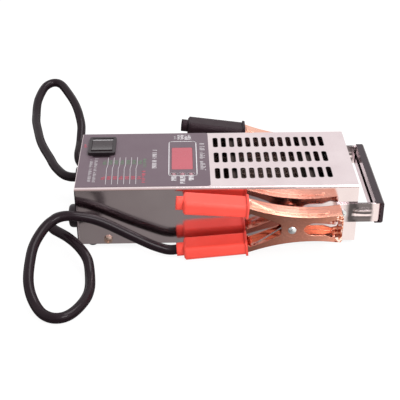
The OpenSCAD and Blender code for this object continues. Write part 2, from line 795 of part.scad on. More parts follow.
module handle_strap() color([0.8, 0.79, 0.79]) {
    difference() {
        union() {
            translate([0, 0, strap_z - strap_w / 2]) linear_extrude(height = strap_w) strap_plan();
            for (s = [-1, 1], step = rib_steps)
                translate([rib_mid_x, s * (wall_y + strap_t), strap_z])
                    side_view(2 * step[2]) union() {
                        square([step[0] - step[1], step[1]], center = true);
                        for (x = [-1, 1])
                            translate([x * (step[0] - step[1]) / 2, 0]) circle(d = step[1]);
                    }
        }
        // the ribs stand out only, and the cross bar is narrower than the arms
        slab([arm_x, grip_x[0]], [-wall_y, wall_y], [strap_z - strap_w, strap_z + strap_w]);
        for (s = [-1, 1])
            slab([grip_x[0] - fit_gap, grip_x[1]], [corner_r - wall_y - strap_t, wall_y + strap_t - corner_r],
                s > 0 ? [strap_z + cross_h / 2, strap_z + strap_w]
                      : [strap_z - strap_w, strap_z - cross_h / 2]);
        for (s = [-1, 1])
            translate([handle_screw_at[0], s * wall_y, handle_screw_at[1]])
                rod_y(handle_screw_d / 2 + fit_gap, -9, 9);
    }
}

slit_up = 0.5;
module handle_grip() color([0.2, 0.18, 0.19]) {
    low = strap_z - grip_h / 2;
    high = strap_z + grip_h / 2;
    chamfer = 1.2;
    lip_y = wall_y - corner_r - 0.4;
    difference() {
        side_view(2 * grip_y) polygon([
            [grip_x[0], low], [grip_x[1] - chamfer, low], [grip_x[1], low + chamfer],
            [grip_x[1], high - chamfer], [grip_x[1] - chamfer, high], [grip_x[0], high]
        ]);
        slab(grip_room_x, [-lip_y - 1, lip_y + 1], [low + grip_wall, high - grip_wall]);
        slab([grip_x[0] - 1, grip_room_x[0] + 1], [-lip_y - 1, lip_y + 1],
            [strap_z + slit_up - slit_h / 2, strap_z + slit_up + slit_h / 2]);
        // both ends are open towards the housing, for the strap's round corners
        for (s = [-1, 1])
            slab([grip_x[0] - 1, bar_x + strap_t + fit_gap],
                s > 0 ? [lip_y, grip_y + 1] : [-grip_y - 1, -lip_y],
                [strap_z - strap_w / 2 - fit_gap, strap_z + strap_w / 2 + fit_gap]);
    }
}

handle_screw_head_d = 8;
handle_screw_head_h = 2.4;
handle_screw_l = 9;
handle_nut_h = 3.2;
module handle_screws() color([0.75, 0.72, 0.7]) {
    for (s = [-1, 1])
        translate([handle_screw_at[0], s * (wall_y + strap_t), handle_screw_at[1]])
            rotate([-90 * s, 0, 0])
                pan_screw(handle_screw_head_d, handle_screw_head_h, handle_screw_d, handle_screw_l);
}

module handle_nuts() color([0.75, 0.75, 0.76]) {
    for (s = [-1, 1])
        translate([handle_screw_at[0], s * (wall_y - sheet_t), handle_screw_at[1]])
            rotate([90 * s, 0, 0]) hex_nut(7, handle_nut_h, handle_screw_d + 2 * pivot_gap);
}

// Clamps. Each is drawn round its pivot, with +X to the jaws and the lower lever a mirror image
// of the upper one. The two levers lie one sheet apart along the pin, so that their ears pass.
// A clamp's place is its pivot and, fourth, the angle by which its jaws point upwards.
red_place = [57.4, -wall_y - near_clamp_gap, 31.8, 0.2];
black_place = [62.1, wall_y + far_clamp_gap, 27.3, -2.5];
lever_shift = lever_t + side_gap;
tooth_pitch = 2 * lever_shift;
tooth_rise = 0.9;
bite_gap = 0.5;
neck_u = -39.6;
neck_w = 23.8;
handle_slope = 0.0857;
handle_angle = atan(handle_slope);
handle_h = 7.1;
// from the outside of the web down to the axis of the sleeve
seat_drop = 4.2;
collar_t = 2;
web_low = [20, 12.8];
tip_w = 14.7;

function handle_web(u) = neck_w - handle_slope * (u - neck_u);

web_line = concat(
    [[-handle_reach, handle_web(-handle_reach)]],
    bezier([neck_u, neck_w], [neck_u + 5, neck_w - 1.2], [-12, web_low[1] - 0.4], web_low, 14),
    bezier(web_low, web_low + [8, 0], [jaw_reach - 8, tip_w - 0.8], [jaw_reach - 1.2, tip_w], 6)
);
left_lens = concat(
    bezier([-28, 14.5], [-22, 11.8], [-17, 9.6], [-12, 7.4], 6),
    [[-10.2, 6], [-9.4, 3.5], [-9.2, -2]]
);
right_lens = bezier([9.6, -2], [10.5, 3.5], [13.5, 6.6], [20, 7], 8);
// the flange is cut back behind the lip, so that only the toothed lips meet
flange_notch = [[30, 7], [jaw_reach - 7.4, 9.8], [jaw_reach - lever_t - 1, 8.6],
    [jaw_reach - lever_t, 6]];
// a bead pressed out of the web stiffens the lever
bead_w = 8;
bead_rise = 0.6;
bead_u = [-36, 33];

module lever_outline() {
    polygon(concat(
        web_line,
        [[jaw_reach, tip_w - 1.6], [jaw_reach, -2], [jaw_reach - lever_t, -2]],
        [for (i = [len(flange_notch) - 1:-1:0]) flange_notch[i]],
        [for (i = [len(right_lens) - 1:-1:0]) right_lens[i]],
        [for (i = [len(left_lens) - 1:-1:0]) left_lens[i]],
        [[neck_u + collar_t + 1, 17.6],
         [neck_u + collar_t, handle_web(neck_u + collar_t) - handle_h],
         [-handle_reach, handle_web(-handle_reach) - handle_h]]
    ));
}

// What lies between the flanges, under the web and behind the jaw's lip
module lever_hollow() {
    t = lever_t;
    polygon(concat(
        [[-handle_reach - 5, handle_web(-handle_reach - 5) - t]],
        [for (p = web_line) if (p[0] > neck_u - 1 && p[0] < jaw_reach - t - 1) p - [0, t]],
        [[jaw_reach - t, tip_w - t - 0.6], [jaw_reach - t, -30], [-handle_reach - 5, -30]]
    ));
}

module lever_bead() {
    run = [for (p = web_line) if (p[0] > neck_u && p[0] < jaw_reach - 2) p];
    intersection() {
        side_view(bead_w) polygon(concat(
            [for (p = run) p + [0, bead_rise]],
            [for (i = [len(run) - 1:-1:0]) run[i] - [0, lever_t / 2]]
        ));
        linear_extrude(height = 2 * neck_w) union() {
            translate([bead_u[0], -bead_w / 2 - 1])
                square([bead_u[1] - bead_w / 2 - bead_u[0], bead_w + 2]);
            translate([bead_u[1] - bead_w / 2, 0]) circle(r = bead_w / 2);
        }
    }
}

module lever() {
    teeth = [for (k = [-7:7]) [k * tooth_pitch / 2,
        bite_gap / 2 + (abs(k) % 2 == 0 ? tooth_rise : -tooth_rise)]];
    difference() {
        union() {
            side_view(lever_w) lever_outline();
            rod_y(ear_r, -lever_w / 2, lever_w / 2);
            lever_bead();
        }
        side_view(lever_w - 2 * lever_t) lever_hollow();
        rod_y(rivet_d / 2 + pivot_gap, -lever_w, lever_w);
        end_view(jaw_reach - lever_t - eps, jaw_reach + 1)
            polygon(concat(teeth, [[lever_w, 0], [lever_w, -4], [-lever_w, -4], [-lever_w, 0]]));
    }
}

// Sleeves, drawn along their own axis from the cable end of the body at X = 0
sleeve_u = neck_u - 0.5 - sleeve_l;
sleeve_axis_w = neck_w - seat_drop;
cap_d = 12;
cap_l = 6.4;
cavity_x = 2.6;

module rounded_plate(x, wide, high, r, thick) {
    translate([x, 0, 0]) rotate([90, 0, 90]) linear_extrude(height = thick)
        offset(r = r, $fn = 32) square([wide - 2 * r, high - 2 * r], center = true);
}

module sleeve() {
    low = -(handle_h - seat_drop) - fit_gap;
    high = seat_drop + fit_gap;
    difference() {
        union() {
            hull() {
                rounded_plate(1.5, sleeve_w, sleeve_h, 4, 1);
                rounded_plate(0, sleeve_w - 3, sleeve_h - 3, 3.6, 1);
                rounded_plate(sleeve_l - 1, sleeve_w, sleeve_neck_h, 3.2, 1);
            }
            rounded_plate(sleeve_l - lap / 5, collar_w, collar_h, 5, collar_t);
            rod_x(cap_d / 2, -cap_l, lap);
        }
        slab([cavity_x, sleeve_l + collar_t + 1],
            [-lever_w / 2 - fit_gap, lever_w / 2 + fit_gap], [low, high]);
        rod_x(cable_d / 2 + fit_gap, -cap_l - 1, cavity_x + 1);
    }
}

module on_handle() {
    translate([sleeve_u, 0, sleeve_axis_w - handle_slope * (sleeve_u - neck_u)])
        rotate([0, handle_angle, 0]) children();
}

module cable_lug() {
    barrel_r = seat_drop - lever_t - 0.1;
    // the tongue lies against the inner side of the web
    tongue_top = seat_drop - lever_t - 0.05;
    rod_x(cable_d / 2, -cap_l, cavity_x - fit_gap);
    rod_x(barrel_r, cavity_x - 1, cavity_x + 14);
    slab([cavity_x + 11, cavity_x + 28], [-5, 5], [tongue_top - 1.5, tongue_top]);
    slab([cavity_x + 11, cavity_x + 14], [-2.5, 2.5], [0, tongue_top]);
}

rivet_half = lever_w / 2 + lever_shift / 2 + 0.15;
rivet_head_h = 1.9;
module rivet() {
    rod_y(rivet_d / 2, -rivet_half - lap, rivet_half + lap);
    for (s = [-1, 1])
        translate([0, s * rivet_half, 0]) rotate([-90 * s, 0, 0]) intersection() {
            translate([0, 0, rivet_head_h - rivet_head_d * 0.65]) sphere(r = rivet_head_d * 0.65);
            cylinder(h = rivet_head_h, r = rivet_head_d / 2);
        }
}

// Torsion spring: coils round the rivet, with one leg along each handle
coil_r = rivet_d / 2 + 0.6 + wire_d / 2;
coil_pitch = wire_d + 0.25;
leg_u = -33;
leg_w = handle_web(leg_u) - 4.6;
coil_steps = 12;
leg_dir = atan2(leg_w, leg_u);
leg_reach = norm([leg_u, leg_w]);
// angle at which a leg that points to [leg_u, leg_w] leaves the coil as its tangent
leave_angle = leg_dir + acos(coil_r / leg_reach);

function coil_point(a, y) = [coil_r * cos(a), y, coil_r * sin(a)];

module spring_leg() {
    // the leg that moves with the upper lever, with the last part of the turn it ends
    y = 1.5 * coil_pitch;
    turn = [for (i = [8:-1:0]) coil_point(leave_angle + i * 360 / coil_steps, y)];
    tube(concat(turn, [[leg_u, y, leg_w]]), wire_d / 2, 8, [0, 1, 0]);
}

module spring_coil() {
    // the coils and the leg that stays on the lower lever
    first = -1.5 * coil_pitch;
    steps = 2 * coil_steps;
    turn = [for (i = [0:steps]) coil_point(-leave_angle - i * 360 / coil_steps,
        first + coil_pitch * i / coil_steps)];
    tube(concat([[leg_u, first, -leg_w]], turn), wire_d / 2, 8, [0, 1, 0]);
}

module in_clamp(place) {
    translate([place[0], place[1], place[2]]) rotate([0, -place[3], 0]) children();
}

module upper(place) {
    in_clamp(place) translate([0, -lever_shift / 2, 0]) children();
}

module lower(place) {
    in_clamp(place) translate([0, lever_shift / 2, 0]) mirror([0, 0, 1]) children();
}

copper = [0.85, 0.55, 0.42];
zinc = [0.78, 0.79, 0.8];
steel_wire = [0.7, 0.68, 0.67];
red = [0.95, 0.28, 0.24];
black = [0.14, 0.13, 0.14];

module red_lower_lever() color(copper) lower(red_place) lever();
module red_upper_lever() color(copper) upper(red_place) lever();
module red_lower_sleeve() color(red) lower(red_place) on_handle() sleeve();
module red_upper_sleeve() color(red) upper(red_place) on_handle() sleeve();
module red_cable_lug() color(copper) lower(red_place) on_handle() cable_lug();
module red_rivet() color(zinc) in_clamp(red_place) rivet();
module red_spring_coil() color(steel_wire) in_clamp(red_place) spring_coil();
module red_spring_leg() color(steel_wire) in_clamp(red_place) spring_leg();
module black_lower_lever() color(copper) lower(black_place) lever();
module black_upper_lever() color(copper) upper(black_place) lever();
module black_lower_sleeve() color(black) lower(black_place) on_handle() sleeve();
module black_upper_sleeve() color(black) upper(black_place) on_handle() sleeve();
module black_cable_lug() color(copper) lower(black_place) on_handle() cable_lug();
module black_rivet() color(zinc) in_clamp(black_place) rivet();
module black_spring_coil() color(steel_wire) in_clamp(black_place) spring_coil();
module black_spring_leg() color(steel_wire) in_clamp(black_place) spring_leg();

// Cables. A route starts at the gland's mouth and ends at the cap of the lower sleeve, where it
// runs in along the sleeve's axis.
function cap_point(place, back) = let (
    x = sleeve_u - (cap_l + back) * cos(handle_angle),
    z = -(sleeve_axis_w - handle_slope * (sleeve_u - neck_u)) - (cap_l + back) * sin(handle_angle)
) [
    place[0] + x * cos(place[3]) - z * sin(place[3]), place[1] + lever_shift / 2,
    place[2] + x * sin(place[3]) + z * cos(place[3])
];

positive_route = concat([[gland_x, -gland_y, gland_z]], [
    [-144.8, -35.5, 23.5], [-148.6, -36.3, 23.5], [-153.1, -38.6, 23.4], [-156.2, -42.8, 23.2],
    [-157.3, -47.8, 22.9], [-156.4, -52.6, 22.6], [-153.6, -56.7, 22.2], [-147.7, -61.4, 21.5],
    [-140.4, -67.2, 20.4], [-132, -75.5, 18], [-124.6, -85.3, 14.5], [-121, -92.9, 11.2],
    [-118.8, -106.7, 6.2], [-118, -121, 4.7], [-119.4, -133.9, 4.7], [-123.8, -146, 4.7],
    [-129.5, -155.5, 4.7], [-135.4, -160.7, 4.7], [-142.2, -162.3, 4.7], [-148.9, -160.6, 5],
    [-155.2, -155.9, 6.1], [-161.3, -147.3, 9.2], [-165.8, -137.4, 14.2], [-167.8, -127, 19.8],
    [-167.8, -112.3, 25.9], [-166.5, -98.1, 30.8], [-162.7, -86.4, 34.9], [-156.6, -75.7, 38.9],
    [-150.3, -69.8, 41.1], [-143, -66.8, 42.3], [-133.1, -65.6, 41.7], [-118.6, -64.5, 38],
    [-105, -64.3, 31.8], [-86.5, -65.7, 21.8], [-66.1, -67.7, 11.5], [-54.9, -68.1, 7.1]
], [cap_point(red_place, 5), cap_point(red_place, 0)]);

negative_route = concat([[gland_x, gland_y, gland_z]], [
    [-144.8, 35.5, 23.5], [-148.7, 36.3, 23.6], [-153.9, 39.2, 23.9], [-159.4, 46.2, 24.3],
    [-165.6, 56.5, 25.3], [-170.6, 68.4, 26.6], [-178.8, 86.6, 28.6], [-183.9, 100.7, 30.1],
    [-188.5, 119, 32.1], [-192.5, 137.5, 34], [-193.7, 150.4, 35.9], [-194.4, 164, 39.2],
    [-193.8, 174.5, 42.3], [-190.7, 188.7, 46.2], [-187.7, 195.8, 48.2], [-183.6, 200, 49.4],
    [-179, 201.8, 49.9], [-174.1, 200.9, 49.6], [-169.7, 197, 48.6], [-164, 187.9, 46],
    [-155.9, 172.4, 41.7], [-150.9, 159.8, 38.3], [-147.4, 147.9, 34.2], [-144.9, 136.4, 28.7],
    [-144.7, 125.7, 23.3], [-145, 115.9, 18.3], [-145.3, 107, 16.7], [-145.7, 98.3, 14.8],
    [-144.7, 92.2, 11.5], [-141.7, 87.8, 8.9], [-137, 84.5, 7.2], [-129.4, 82.3, 5.9],
    [-117.4, 81.5, 5.1], [-96.4, 81.5, 4.7], [-74.4, 81.6, 4.7], [-58.4, 81.5, 5.9]
], [cap_point(black_place, 5), cap_point(black_place, 0)]);

module cable_positive() color([0.2, 0.17, 0.19]) tube(positive_route, cable_d / 2, 10, [0, 0, 1]);
module cable_negative() color([0.2, 0.17, 0.19]) tube(negative_route, cable_d / 2, 10, [0, 0, 1]);

cover();
rear_tray();
front_label();
display_lens();
display_module();
display_board();
board_standoffs();
indicator_leds();
switch_housing();
switch_rocker();
switch_terminals();
load_strip();
load_brackets();
load_insulators();
load_relay();
busbar_positive();
busbar_negative();
busbar_posts();
terminal_bolts();
lead_positive();
lead_negative();
gland_positive();
gland_negative();
gland_nuts();
cable_positive();
cable_negative();
handle_strap();
handle_grip();
handle_screws();
handle_nuts();
cover_screws();
feet();
foot_screws();
red_lower_lever();
red_lower_sleeve();
red_cable_lug();
red_rivet();
red_spring_coil();
red_upper_lever();
red_upper_sleeve();
red_spring_leg();
black_lower_lever();
black_lower_sleeve();
black_cable_lug();
black_rivet();
black_spring_coil();
black_upper_lever();
black_upper_sleeve();
black_spring_leg();
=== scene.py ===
import json
import math
import random

import bmesh
import bpy
from mathutils import Matrix, Vector


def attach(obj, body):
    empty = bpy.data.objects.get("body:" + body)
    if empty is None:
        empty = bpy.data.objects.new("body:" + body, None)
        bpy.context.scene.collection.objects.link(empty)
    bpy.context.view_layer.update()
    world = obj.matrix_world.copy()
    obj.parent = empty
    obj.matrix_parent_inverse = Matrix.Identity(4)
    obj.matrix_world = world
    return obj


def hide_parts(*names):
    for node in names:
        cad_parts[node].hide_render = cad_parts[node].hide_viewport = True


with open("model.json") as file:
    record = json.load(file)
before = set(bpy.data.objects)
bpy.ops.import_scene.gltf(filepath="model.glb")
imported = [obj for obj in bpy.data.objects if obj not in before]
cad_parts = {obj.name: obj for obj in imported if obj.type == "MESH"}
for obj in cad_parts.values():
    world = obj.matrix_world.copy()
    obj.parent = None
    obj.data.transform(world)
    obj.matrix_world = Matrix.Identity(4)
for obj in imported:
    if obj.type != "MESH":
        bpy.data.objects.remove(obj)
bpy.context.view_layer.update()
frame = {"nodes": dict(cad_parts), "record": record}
nodes = frame["nodes"]
# Named measures and the places in materials are in millimetres; the rest is in metres
MM = 0.001

# Housing, as in the part's source
LEFT_X, SHEET_END_X = -132.75, -133.75
WALL_Y = 53.5
FACE_Z, LABEL_Z = 61.5, 61.8
UNDER_FACE_Z = 60.1
GLAND_X, GLAND_Y, GLAND_Z = -141.75, 35.5, 23.5

# Slots: their rows run along X, and their corners look rounder than the sheet's cut
SLOT_COLUMNS, SLOT_ROWS = 14, 3
SLOT_PITCH, SLOT_ROW_PITCH = 7.78, 29.95
SLOT_FIRST_X, SLOT_MIDDLE_Y = LEFT_X + 126.6, 2.0
SLOT_WIDTH, SLOT_LENGTH, SLOT_RADIUS = 4.1, 18.7, 1.9
# no slot reaches past these
SLOTS_FROM_X, SLOTS_TO_X, SLOTS_TO_Y = -10.0, 98.7, 46.0

# Camera, solved from the housing's corners and its slots: degrees, pixels and millimetres
AZIMUTH, ELEVATION, ROLL = -1.25, 31.155, -0.172
FOCAL_PIXELS, PICTURE_PIXELS, SENSOR = 952.35, 400, 36
CAMERA_AT = (-38.51, -776.46, 486.25)


def add_camera():
    az, el, roll = (math.radians(angle) for angle in (AZIMUTH, ELEVATION, ROLL))
    look = Vector((-math.sin(az) * math.cos(el), math.cos(az) * math.cos(el), -math.sin(el)))
    right = Vector((math.cos(az), math.sin(az), 0))
    up = right.cross(look)
    x_axis = right * math.cos(roll) + up * math.sin(roll)
    y_axis = -right * math.sin(roll) + up * math.cos(roll)
    data = bpy.data.cameras.new("camera")
    data.sensor_width = SENSOR
    data.lens = FOCAL_PIXELS / PICTURE_PIXELS * SENSOR
    data.clip_start, data.clip_end = 0.05, 20
    cam = bpy.data.objects.new("camera", data)
    bpy.context.scene.collection.objects.link(cam)
    turn = Matrix((x_axis, y_axis, -look)).transposed().to_4x4()
    cam.matrix_world = Matrix.Translation(Vector(CAMERA_AT) * MM) @ turn
    bpy.context.scene.camera = cam


add_camera()


# Node helpers
def shader(name):
    m = bpy.data.materials.new(name)
    m.use_nodes = True
    nt = m.node_tree
    return m, nt, nt.nodes["Principled BSDF"]


def put(nt, socket, value):
    """Gives a socket a number, a colour or the output of a node."""
    if isinstance(value, (int, float)):
        socket.default_value = value
    elif isinstance(value, tuple):
        socket.default_value = (*value, 1)
    else:
        nt.links.new(value, socket)


def noise(nt, scale, detail=3.0, rough=0.5, stretch=(1, 1, 1)):
    at = nt.nodes.new("ShaderNodeTexCoord")
    mapping = nt.nodes.new("ShaderNodeMapping")
    mapping.inputs["Scale"].default_value = stretch
    tex = nt.nodes.new("ShaderNodeTexNoise")
    tex.inputs["Scale"].default_value = scale
    tex.inputs["Detail"].default_value = detail
    tex.inputs["Roughness"].default_value = rough
    nt.links.new(at.outputs["Object"], mapping.inputs["Vector"])
    nt.links.new(mapping.outputs["Vector"], tex.inputs["Vector"])
    return tex.outputs["Fac"]


def spread(nt, value, low, high, a=0.3, b=0.7):
    """Maps the span from a to b onto low to high, and holds both ends."""
    node = nt.nodes.new("ShaderNodeMapRange")
    node.inputs["From Min"].default_value = a
    node.inputs["From Max"].default_value = b
    node.inputs["To Min"].default_value = low
    node.inputs["To Max"].default_value = high
    nt.links.new(value, node.inputs["Value"])
    return node.outputs["Result"]


def rising(nt, place, start, end):
    """0 before start and 1 past end, in millimetres."""
    return spread(nt, place, 0, 1, start * MM, end * MM)


def falling(nt, place, start, end):
    """1 before start and 0 past end, in millimetres."""
    return spread(nt, place, 1, 0, start * MM, end * MM)


def grey_ramp(nt, factor, stops, tint=(1, 1, 1)):
    """A ramp of greys from 0 to 1; stops are (place, grey)."""
    node = nt.nodes.new("ShaderNodeValToRGB")
    while len(node.color_ramp.elements) < len(stops):
        node.color_ramp.elements.new(0.5)
    for element, (place, grey) in zip(node.color_ramp.elements, stops):
        element.position = place
        element.color = (*(grey * c for c in tint), 1)
    nt.links.new(factor, node.inputs["Fac"])
    return node.outputs["Color"]


def maths(nt, operation, *values):
    node = nt.nodes.new("ShaderNodeMath")
    node.operation = operation
    for socket, value in zip(node.inputs, values):
        put(nt, socket, value)
    return node.outputs[0]


def product(nt, first, *others):
    for other in others:
        first = maths(nt, "MULTIPLY", first, other)
    return first


def axes(nt, kind="Object"):
    """X, Y and Z of the point in the frame of the part, or of another coordinate."""
    at = nt.nodes.new("ShaderNodeTexCoord")
    split = nt.nodes.new("ShaderNodeSeparateXYZ")
    nt.links.new(at.outputs[kind], split.inputs[0])
    return split.outputs


def mix(nt, factor, a, b, blend="MIX", data_type="RGBA"):
    """Goes from a to b as the factor goes from 0 to 1."""
    node = nt.nodes.new("ShaderNodeMix")
    node.data_type = data_type
    node.blend_type = blend
    nt.links.new(factor, node.inputs["Factor"])
    put(nt, node.inputs["A"], a)
    put(nt, node.inputs["B"], b)
    return node.outputs["Result"]


def add_bump(nt, bsdf, height, strength, distance):
    """A bump whose distance is in millimetres."""
    node = nt.nodes.new("ShaderNodeBump")
    node.inputs["Strength"].default_value = strength
    node.inputs["Distance"].default_value = distance * MM
    nt.links.new(height, node.inputs["Height"])
    nt.links.new(node.outputs["Normal"], bsdf.inputs["Normal"])
    return node


def soften(nt, bump_node, radius):
    """Rounds the look of edges in front of a bump node."""
    node = nt.nodes.new("ShaderNodeBevel")
    node.samples = 6
    node.inputs["Radius"].default_value = radius * MM
    nt.links.new(node.outputs["Normal"], bump_node.inputs["Normal"])


def surface(name, colour, rough, metal=0.0, vary=0.06, scale=45, grain=900, bump=0.08,
            depth=0.05, coat=0.0, coat_rough=0.1, level=0.5, tint=(1, 1, 1), edge=0.0):
    """A surface whose colour and gloss drift a little, with a fine grain in its bump.
    Its edges look rounded to the radius edge, in millimetres."""
    m, nt, bsdf = shader(name)
    darker = tuple(c * (1 - vary) for c in colour)
    lighter = tuple(min(1, c * (1 + vary)) for c in colour)
    drift = spread(nt, noise(nt, scale), 0, 1)
    put(nt, bsdf.inputs["Base Color"], mix(nt, drift, darker, lighter))
    worn = noise(nt, scale * 3.1)
    put(nt, bsdf.inputs["Roughness"], spread(nt, worn, rough - 0.06, rough + 0.06))
    grain_bump = add_bump(nt, bsdf, noise(nt, grain, detail=2), bump, depth)
    if edge:
        soften(nt, grain_bump, edge)
    for socket, value in (("Metallic", metal), ("Specular IOR Level", level),
                          ("Specular Tint", tint), ("Coat Weight", coat),
                          ("Coat Roughness", coat_rough)):
        put(nt, bsdf.inputs[socket], value)
    return m


# Materials
MAUVE = (1.0, 0.86, 0.92)
black_paint = surface("black_paint", (0.018, 0.013, 0.015), 0.42, grain=700, bump=0.15,
                      depth=0.06, level=0.3, tint=MAUVE)
film = surface("grey_film", (0.126, 0.088, 0.108), 0.38, vary=0.03, scale=20, grain=1500,
               bump=0.05, depth=0.02, level=0.35, tint=MAUVE)
window = surface("red_window", (0.44, 0.088, 0.115), 0.25, vary=0.05, scale=25, grain=500,
                 bump=0.03, depth=0.02, level=0.4)
dark_plastic = surface("dark_plastic", (0.03, 0.022, 0.02), 0.5, grain=900, bump=0.12)
board_green = surface("board", (0.02, 0.12, 0.05), 0.4, vary=0.25, scale=220, bump=0.1)
brass = surface("brass_post", (0.72, 0.52, 0.24), 0.3, 1.0, vary=0.08)
lamp = surface("lamp", (0.34, 0.17, 0.20), 0.25, vary=0.08, scale=300, coat=0.3)
black_plastic = surface("black_plastic", (0.012, 0.008, 0.010), 0.36, grain=1100, bump=0.12,
                        level=0.45, tint=MAUVE, edge=0.5)
black_gloss = surface("black_gloss", (0.026, 0.018, 0.021), 0.22, vary=0.1, grain=800,
                      bump=0.04, level=0.4, tint=MAUVE, edge=0.4)
alloy = surface("resistance_alloy", (0.36, 0.25, 0.22), 0.6, vary=0.15, scale=120)
plain_steel = surface("plain_steel", (0.062, 0.044, 0.04), 0.8, level=0.2, vary=0.08, scale=80)
ceramic = surface("ceramic", (0.085, 0.062, 0.052), 0.7, vary=0.08, scale=150, bump=0.2)
copper = surface("copper", (0.12, 0.06, 0.045), 0.5, vary=0.1, scale=90)
zinc = surface("zinc", (0.72, 0.73, 0.74), 0.26, 1.0, vary=0.08, scale=180, bump=0.1)
sheath = surface("cable_sheath", (0.012, 0.0062, 0.0088), 0.3, vary=0.12, scale=60,
                 grain=650, bump=0.03, depth=0.03, level=0.1, coat=0.17, coat_rough=0.05,
                 tint=MAUVE)
screw_zinc = surface("screw_zinc", (0.78, 0.56, 0.47), 0.3, 1.0, vary=0.25, scale=900,
                     bump=0.5)
rubber = surface("foot_rubber", (0.02, 0.016, 0.018), 0.6, grain=900, bump=0.2)
spring_steel = surface("spring_wire", (0.66, 0.60, 0.58), 0.24, 1.0, vary=0.08, scale=200)
red_vinyl = surface("red_sleeve", (0.97, 0.082, 0.056), 0.4, vary=0.05, scale=40, grain=700,
                    bump=0.1, depth=0.05, level=0.4, edge=3.0)
black_vinyl = surface("black_sleeve", (0.024, 0.013, 0.017), 0.34, vary=0.08, scale=40,
                      grain=700, bump=0.08, depth=0.05, level=0.12, tint=MAUVE, edge=4.0)


def shade_film(m):
    """Little light reaches the label just in front of the switch, so a painted shadow darkens
    it and dulls its gloss there.
    """
    nt = m.node_tree
    bsdf = nt.nodes["Principled BSDF"]
    base = bsdf.inputs["Base Color"]
    x, y, _ = axes(nt)
    shade = product(nt, rising(nt, x, -123.0, -120.5), falling(nt, x, -106.0, -103.5),
                    rising(nt, y, 3.0, 5.5), falling(nt, y, 9.0, 10.0))
    put(nt, base, mix(nt, shade, base.links[0].from_socket, (0.018, 0.011, 0.014)))
    put(nt, bsdf.inputs["Specular IOR Level"], spread(nt, shade, 0.35, 0.05, 0, 1))


shade_film(film)


def brown_tray_floor(m):
    """The tray's floor inside, under the slots, is brown on its faces that look up."""
    nt = m.node_tree
    base = nt.nodes["Principled BSDF"].inputs["Base Color"]
    x, y, z = axes(nt)
    faces_up = spread(nt, axes(nt, "Normal")["Z"], 0, 1, 0.5, 0.6)
    inside = product(nt, faces_up, falling(nt, z, 20, 21), rising(nt, x, -20, -10),
                     falling(nt, maths(nt, "ABSOLUTE", y), 51, 52))
    put(nt, base, mix(nt, inside, base.links[0].from_socket, (0.30, 0.19, 0.17)))


brown_tray_floor(black_paint)


def past_core(nt, place, middle, pitch, half):
    """How far a place is past the straight core of the nearest slot, along one axis."""
    shifted = maths(nt, "SUBTRACT", place, (middle - pitch / 2) * MM)
    wrapped = maths(nt, "FLOORED_MODULO", shifted, pitch * MM)
    off = maths(nt, "ABSOLUTE", maths(nt, "SUBTRACT", wrapped, pitch / 2 * MM))
    return maths(nt, "MAXIMUM", maths(nt, "SUBTRACT", off, (half - SLOT_RADIUS) * MM), 0.0)


def slot_edges(nt, x, y, z):
    """The mask of the painted shade in the slots: 1 on their sheared walls, and 0.9 to 0
    across their rolled edges.
    """
    sheet = product(nt, rising(nt, z, UNDER_FACE_Z - 0.3, UNDER_FACE_Z),
                    falling(nt, maths(nt, "ABSOLUTE", y), SLOTS_TO_Y - 1, SLOTS_TO_Y),
                    rising(nt, x, SLOTS_FROM_X, SLOTS_FROM_X + 0.2))
    walls = product(nt, falling(nt, z, FACE_Z - 0.2, FACE_Z - 0.08), sheet)
    dx = past_core(nt, x, SLOT_FIRST_X, SLOT_PITCH, SLOT_WIDTH / 2)
    dy = past_core(nt, y, SLOT_MIDDLE_Y, SLOT_ROW_PITCH, SLOT_LENGTH / 2)
    away = maths(nt, "SQRT", maths(nt, "ADD", product(nt, dx, dx), product(nt, dy, dy)))
    edge = spread(nt, away, 0.9, 0, (SLOT_RADIUS + 0.25) * MM, (SLOT_RADIUS + 0.65) * MM)
    rolled = product(nt, edge, sheet, falling(nt, x, SLOTS_TO_X - 0.2, SLOTS_TO_X))
    return maths(nt, "MAXIMUM", walls, rolled)


def cover_steel():
    """Polished sheet. At its sheared left edge a rim scatters the light."""
    m, nt, bsdf = shader("polished_steel")
    drift = spread(nt, noise(nt, 30), 0, 1)
    clean = mix(nt, drift, (0.775, 0.65, 0.667), (0.855, 0.735, 0.748))
    x, y, z = axes(nt)
    rim = product(nt, falling(nt, x, SHEET_END_X + 1.25, SHEET_END_X + 3.15),
                  falling(nt, z, 40, 46))
    end = product(nt, falling(nt, x, SHEET_END_X + 0.35, SHEET_END_X + 0.75),
                  falling(nt, z, 40, 42))
    # painted shade: the bend along the near edge is painted darker than the sheet, to dim its
    # highlight
    bend = product(nt, rising(nt, z, FACE_Z - 2, FACE_Z - 1.5),
                   falling(nt, y, 0.5 - WALL_Y, 1.5 - WALL_Y))
    sheet = mix(nt, bend, clean, (0.58, 0.42, 0.41))
    # painted shade: near black on the slot walls and on a ring round each slot; the strip at
    # the sheet's end is near black too
    dark = maths(nt, "MAXIMUM", end, slot_edges(nt, x, y, z))
    put(nt, bsdf.inputs["Base Color"], mix(nt, dark, sheet, (0.02, 0.015, 0.017)))
    worn = spread(nt, noise(nt, 90), 0.11, 0.15)
    put(nt, bsdf.inputs["Roughness"], maths(nt, "ADD", worn, product(nt, rim, 0.5)))
    add_bump(nt, bsdf, noise(nt, 260, detail=2, stretch=(0.15, 1, 1)), 0.03, 0.02)
    put(nt, bsdf.inputs["Metallic"], 1.0)
    return m


